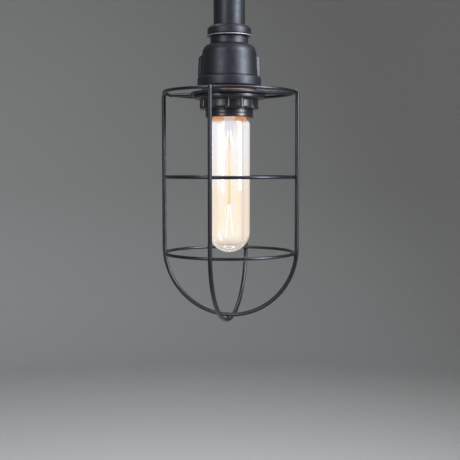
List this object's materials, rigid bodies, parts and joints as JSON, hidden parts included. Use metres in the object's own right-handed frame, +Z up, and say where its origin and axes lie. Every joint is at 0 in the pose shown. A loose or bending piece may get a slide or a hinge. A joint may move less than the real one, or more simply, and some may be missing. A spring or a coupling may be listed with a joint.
{
  "type": "wall light",
  "caption": "Pipe-style wall light with one lamp: a tubular screw bulb in a domed wire cage under a bell reducer, on an elbow and arm from a round canopy.",
  "frame": {"origin": "middle of the crossbar's back face, on the arm pipe's axis, in the plane of the wall", "axes": "+Z up, -Y out of the wall into the room, +X to the right for a person who faces the wall"},
  "size_m": [0.124, 0.1937, 0.4058],
  "materials": {
    "black_metal": "satin blue-black powder coat",
    "black_plastic": "semi-gloss moulded phenolic",
    "bright_steel": "zinc-plated",
    "brass": "plain stamped",
    "red_fibre": "vulcanised fibre",
    "porcelain": "glazed porcelain",
    "clear_glass": "clear, thin",
    "filament_glow": "lit tungsten-coloured wire, glowing amber",
    "green_paint": "green earth marking",
    "black_rubber": "wire insulation",
    "white_rubber": "wire insulation",
    "orange_plastic": "moulded wire connector",
    "black_enamel": "black vitrite"
  },
  "bodies": {
    "fixture": {"arm_nut": "bright_steel", "arm_pipe": "black_metal", "canopy_screw_left": "black_metal", "canopy_screw_right": "black_metal", "centre_contact": "brass", "connector_ground": "green_paint", "connector_line": "orange_plastic", "connector_neutral": "orange_plastic", "contact_rivet": "brass", "crossbar": "bright_steel", "drop_pipe": "black_metal", "elbow": "black_metal", "ground_screw": "green_paint", "hanger_nipple": "bright_steel", "holder_barrel": "black_plastic", "holder_cap": "black_plastic", "holder_core": "porcelain", "holder_washer": "red_fibre", "lead_ground": "green_paint", "lead_line": "black_rubber", "lead_neutral": "white_rubber", "lock_ring": "black_metal", "lock_washer": "bright_steel", "nipple_nut_lower": "brass", "nipple_nut_upper": "brass", "reducer": "black_metal", "screw_shell": "brass", "terminal_plate_line": "brass", "terminal_plate_neutral": "brass", "terminal_screw_line": "bright_steel", "terminal_screw_neutral": "bright_steel", "wall_canopy": "black_metal"},
    "cage": {"cage_hoop_front": "black_metal", "cage_hoop_side": "black_metal", "cage_hub": "black_metal", "cage_lower_ring": "black_metal", "cage_middle_ring": "black_metal", "cage_spoke_back": "black_metal", "cage_spoke_front": "black_metal", "cage_spoke_left": "black_metal", "cage_spoke_right": "black_metal", "cage_top_ring": "black_metal"},
    "clamp_ring": {"shade_ring": "black_plastic"},
    "bulb_seat": {"bulb_tip": "bright_steel"},
    "bulb": {"bulb_glass": "clear_glass", "bulb_cap": "brass", "bulb_insulator": "black_enamel", "bulb_stem": "clear_glass", "filament": "filament_glow", "lead_in_first": "bright_steel", "lead_in_last": "bright_steel"}
  },
  "joints": [
    {"name": "cage_drop", "type": "slide", "parent": "fixture", "child": "cage", "axis": [0, 0, -1], "range_m": [0, 0.0075]},
    {"name": "ring_turn", "type": "hinge", "parent": "cage", "child": "clamp_ring", "pos_m": [0, -0.14, -0.173], "axis": [0, 0, -1], "range_deg": [0, 1080.1]},
    {"name": "bulb_drop", "type": "slide", "parent": "fixture", "child": "bulb_seat", "axis": [0, 0, -1], "range_m": [0, 0.02177]},
    {"name": "bulb_turn", "type": "hinge", "parent": "bulb_seat", "child": "bulb", "pos_m": [0, -0.14, -0.165], "axis": [0, 0, -1], "range_deg": [0, 2160]}
  ],
  "couplings": [
    {"joint": "ring_turn", "follows": "cage_drop", "rad_per_m": 2513.3},
    {"joint": "bulb_drop", "follows": "bulb_turn", "m_per_rad": 0.00057757}
  ]
}
